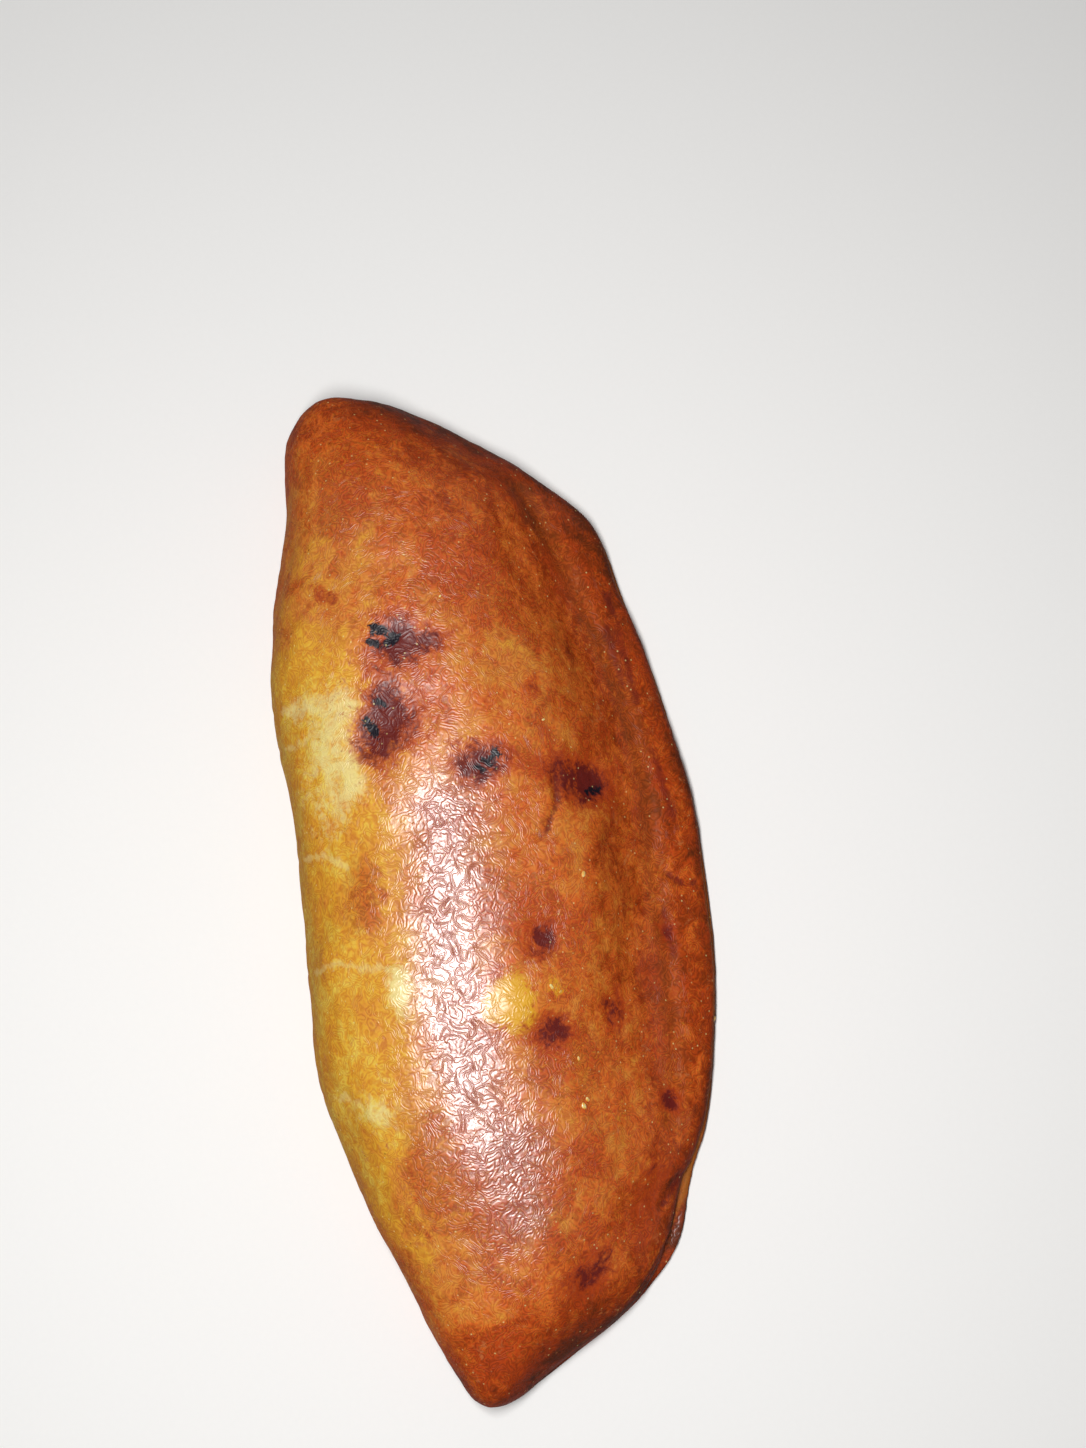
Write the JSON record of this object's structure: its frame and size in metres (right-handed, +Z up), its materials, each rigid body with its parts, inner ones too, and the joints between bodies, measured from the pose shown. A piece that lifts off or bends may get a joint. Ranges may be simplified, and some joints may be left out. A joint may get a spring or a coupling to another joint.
{
  "type": "turnover",
  "caption": "Baked half-moon turnover: a folded round of dough over a domed filling, with a pinched sealed rim along one side and a browned, egg-washed crust.",
  "frame": {"origin": "middle of the footprint, on the surface the turnover rests on", "axes": "+X along the length, towards the blunter and darker tip; +Y from the sealed rim towards the fold; +Z up"},
  "size_m": [0.1602, 0.0648, 0.0303],
  "materials": {
    "crust": "baked dough with an egg wash: semi-gloss, golden on the fold side, orange-brown on the slope, dark red-brown along the rim and at the far tip"
  },
  "bodies": {
    "root": {"crust": "crust"}
  },
  "joints": []
}
